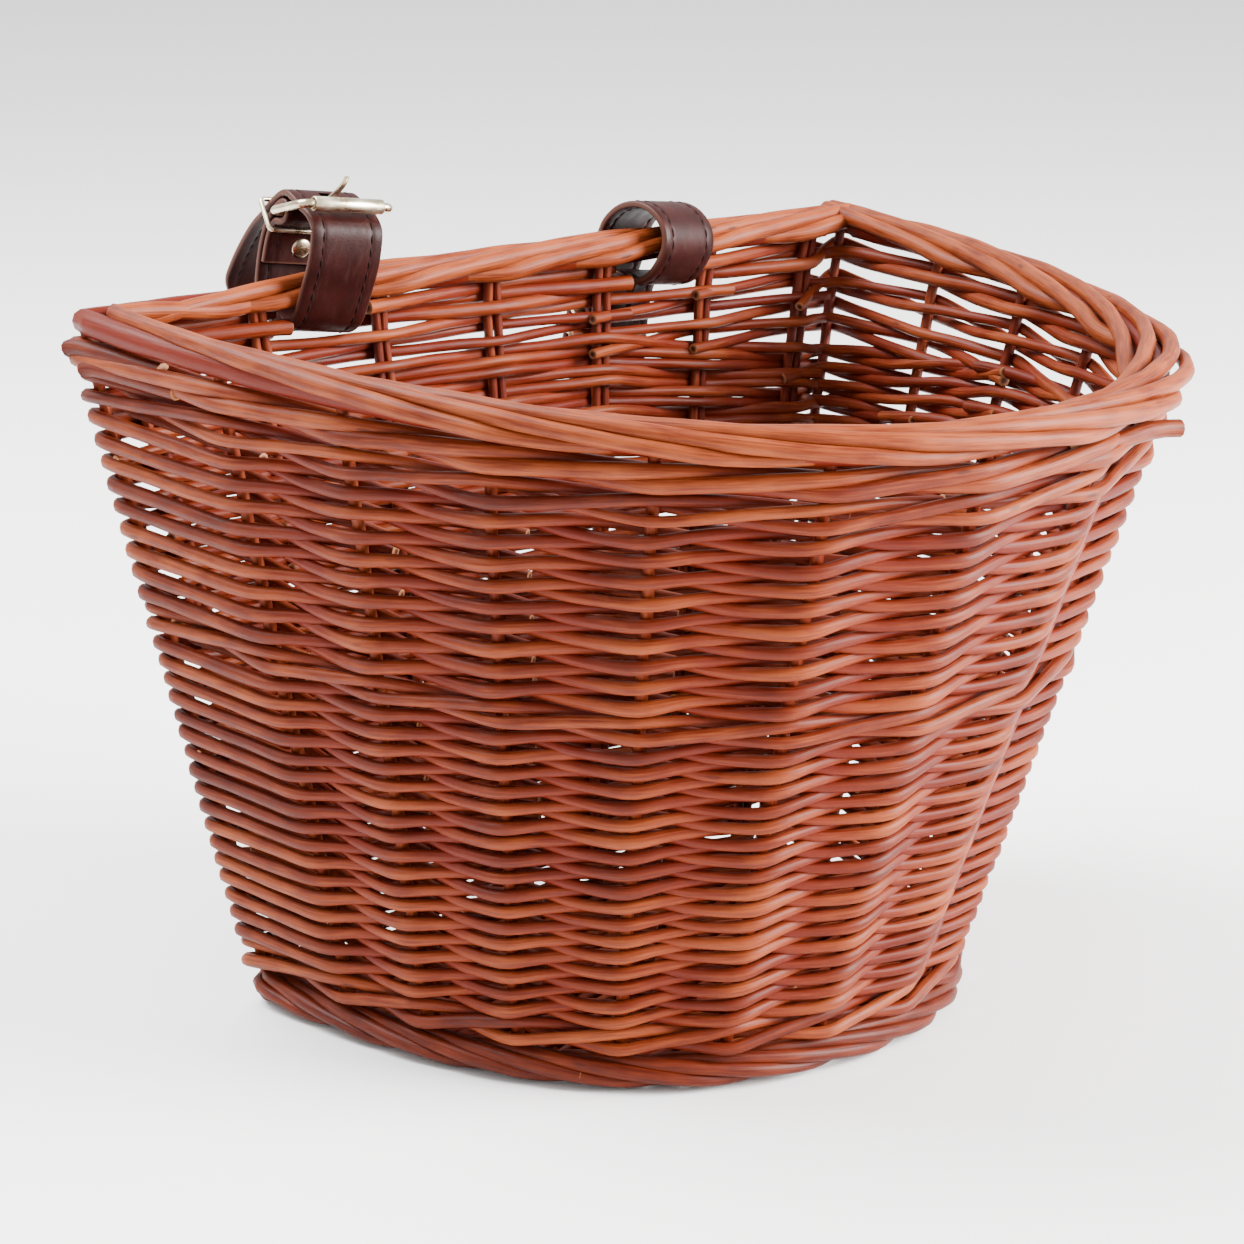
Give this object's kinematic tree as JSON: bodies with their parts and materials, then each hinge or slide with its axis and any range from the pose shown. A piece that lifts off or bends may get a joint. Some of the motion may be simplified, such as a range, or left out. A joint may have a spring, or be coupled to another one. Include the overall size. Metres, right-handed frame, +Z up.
{
  "type": "handlebar basket",
  "caption": "D-shaped woven willow basket with a flat back, rolled rim and foot, and buckled leather straps that loop over a handlebar.",
  "frame": {"origin": "middle of the bottom of the whole part's box, on the surface the basket stands on", "axes": "+X to the right along the flat back, +Y towards the handlebar, out of the flat back, +Z up"},
  "size_m": [0.358, 0.3208, 0.2831],
  "materials": {
    "willow": "stained and lightly varnished willow rods",
    "leather": "dark reddish-brown leather with a soft sheen",
    "brass": "pale polished brass plate"
  },
  "bodies": {
    "basket": {"corner_stake_left": "willow", "corner_stake_right": "willow", "front_stake_01": "willow", "front_stake_02": "willow", "front_stake_03": "willow", "front_stake_04": "willow", "front_stake_05": "willow", "front_stake_06": "willow", "front_stake_07": "willow", "front_stake_08": "willow", "front_stake_09": "willow", "front_stake_10": "willow", "front_stake_11": "willow", "front_stake_12": "willow", "back_stake_pair_1": "willow", "back_stake_pair_2": "willow", "back_stake_pair_3": "willow", "back_stake_pair_4": "willow", "back_stake_pair_5": "willow", "back_stake_pair_6": "willow", "back_stake_pair_7": "willow", "foot_wale": "willow", "middle_wale": "willow", "top_wale": "willow", "lower_siding_1": "willow", "lower_siding_2": "willow", "lower_siding_3": "willow", "lower_siding_4": "willow", "upper_siding_1": "willow", "upper_siding_2": "willow", "upper_siding_3": "willow", "upper_siding_4": "willow", "rim_border": "willow", "foot_border": "willow", "base_stick_1": "willow", "base_stick_2": "willow", "base_stick_3": "willow", "base_stick_4": "willow", "base_stick_5": "willow", "base_weave_1": "willow", "base_weave_2": "willow", "base_weave_3": "willow", "base_weave_4": "willow", "base_weave_5": "willow"},
    "left_strap": {"left_strap": "leather", "left_rivet": "brass", "left_rivet_burr": "brass"},
    "left_buckle": {"left_buckle_frame": "brass"},
    "left_roller": {"left_buckle_roller": "brass"},
    "left_prong": {"left_buckle_prong": "brass"},
    "left_keeper": {"left_keeper": "brass"},
    "right_strap": {"right_strap": "leather", "right_rivet": "brass", "right_rivet_burr": "brass"},
    "right_buckle": {"right_buckle_frame": "brass"},
    "right_roller": {"right_buckle_roller": "brass"},
    "right_prong": {"right_buckle_prong": "brass"},
    "right_keeper": {"right_keeper": "brass"}
  },
  "joints": [
    {"name": "left_strap_swing", "type": "hinge", "parent": "basket", "child": "left_strap", "pos_m": [-0.077, 0.11363, 0.242], "axis": [0.9841, -0.1296, -0.1219], "range_deg": [-18, 80]},
    {"name": "left_buckle_tilt", "type": "hinge", "parent": "left_strap", "child": "left_buckle", "pos_m": [-0.07318, 0.11817, 0.268], "axis": [0.9841, -0.1296, -0.1219], "range_deg": [-8, 3]},
    {"name": "left_roller_spin", "type": "hinge", "parent": "left_buckle", "child": "left_roller", "pos_m": [-0.07533, 0.09692, 0.27329], "axis": [0.9841, -0.1296, -0.1219], "continuous": true},
    {"name": "left_prong_swing", "type": "hinge", "parent": "left_buckle", "child": "left_prong", "pos_m": [-0.07318, 0.11817, 0.268], "axis": [0.9841, -0.1296, -0.1219], "range_deg": [-12, 10]},
    {"name": "left_keeper_slide", "type": "slide", "parent": "left_strap", "child": "left_keeper", "axis": [0.0084, 0.7184, -0.6956], "range_m": [-0.0007, 0.0035]},
    {"name": "right_strap_swing", "type": "hinge", "parent": "basket", "child": "right_strap", "pos_m": [0.077, 0.11363, 0.242], "axis": [0.9841, 0.1296, -0.1219], "range_deg": [-6, 38]},
    {"name": "right_buckle_tilt", "type": "hinge", "parent": "right_strap", "child": "right_buckle", "pos_m": [0.07074, 0.13601, 0.2152], "axis": [0.9841, 0.1296, -0.1219], "range_deg": [-8, 3]},
    {"name": "right_roller_spin", "type": "hinge", "parent": "right_buckle", "child": "right_roller", "pos_m": [0.07297, 0.13939, 0.23683], "axis": [0.9841, 0.1296, -0.1219], "continuous": true},
    {"name": "right_prong_swing", "type": "hinge", "parent": "right_buckle", "child": "right_prong", "pos_m": [0.07074, 0.13601, 0.2152], "axis": [0.9841, 0.1296, -0.1219], "range_deg": [-12, 10]},
    {"name": "right_keeper_slide", "type": "slide", "parent": "right_strap", "child": "right_keeper", "axis": [-0.1351, 0.099, -0.9859], "range_m": [-0.0017, 0.005]}
  ]
}
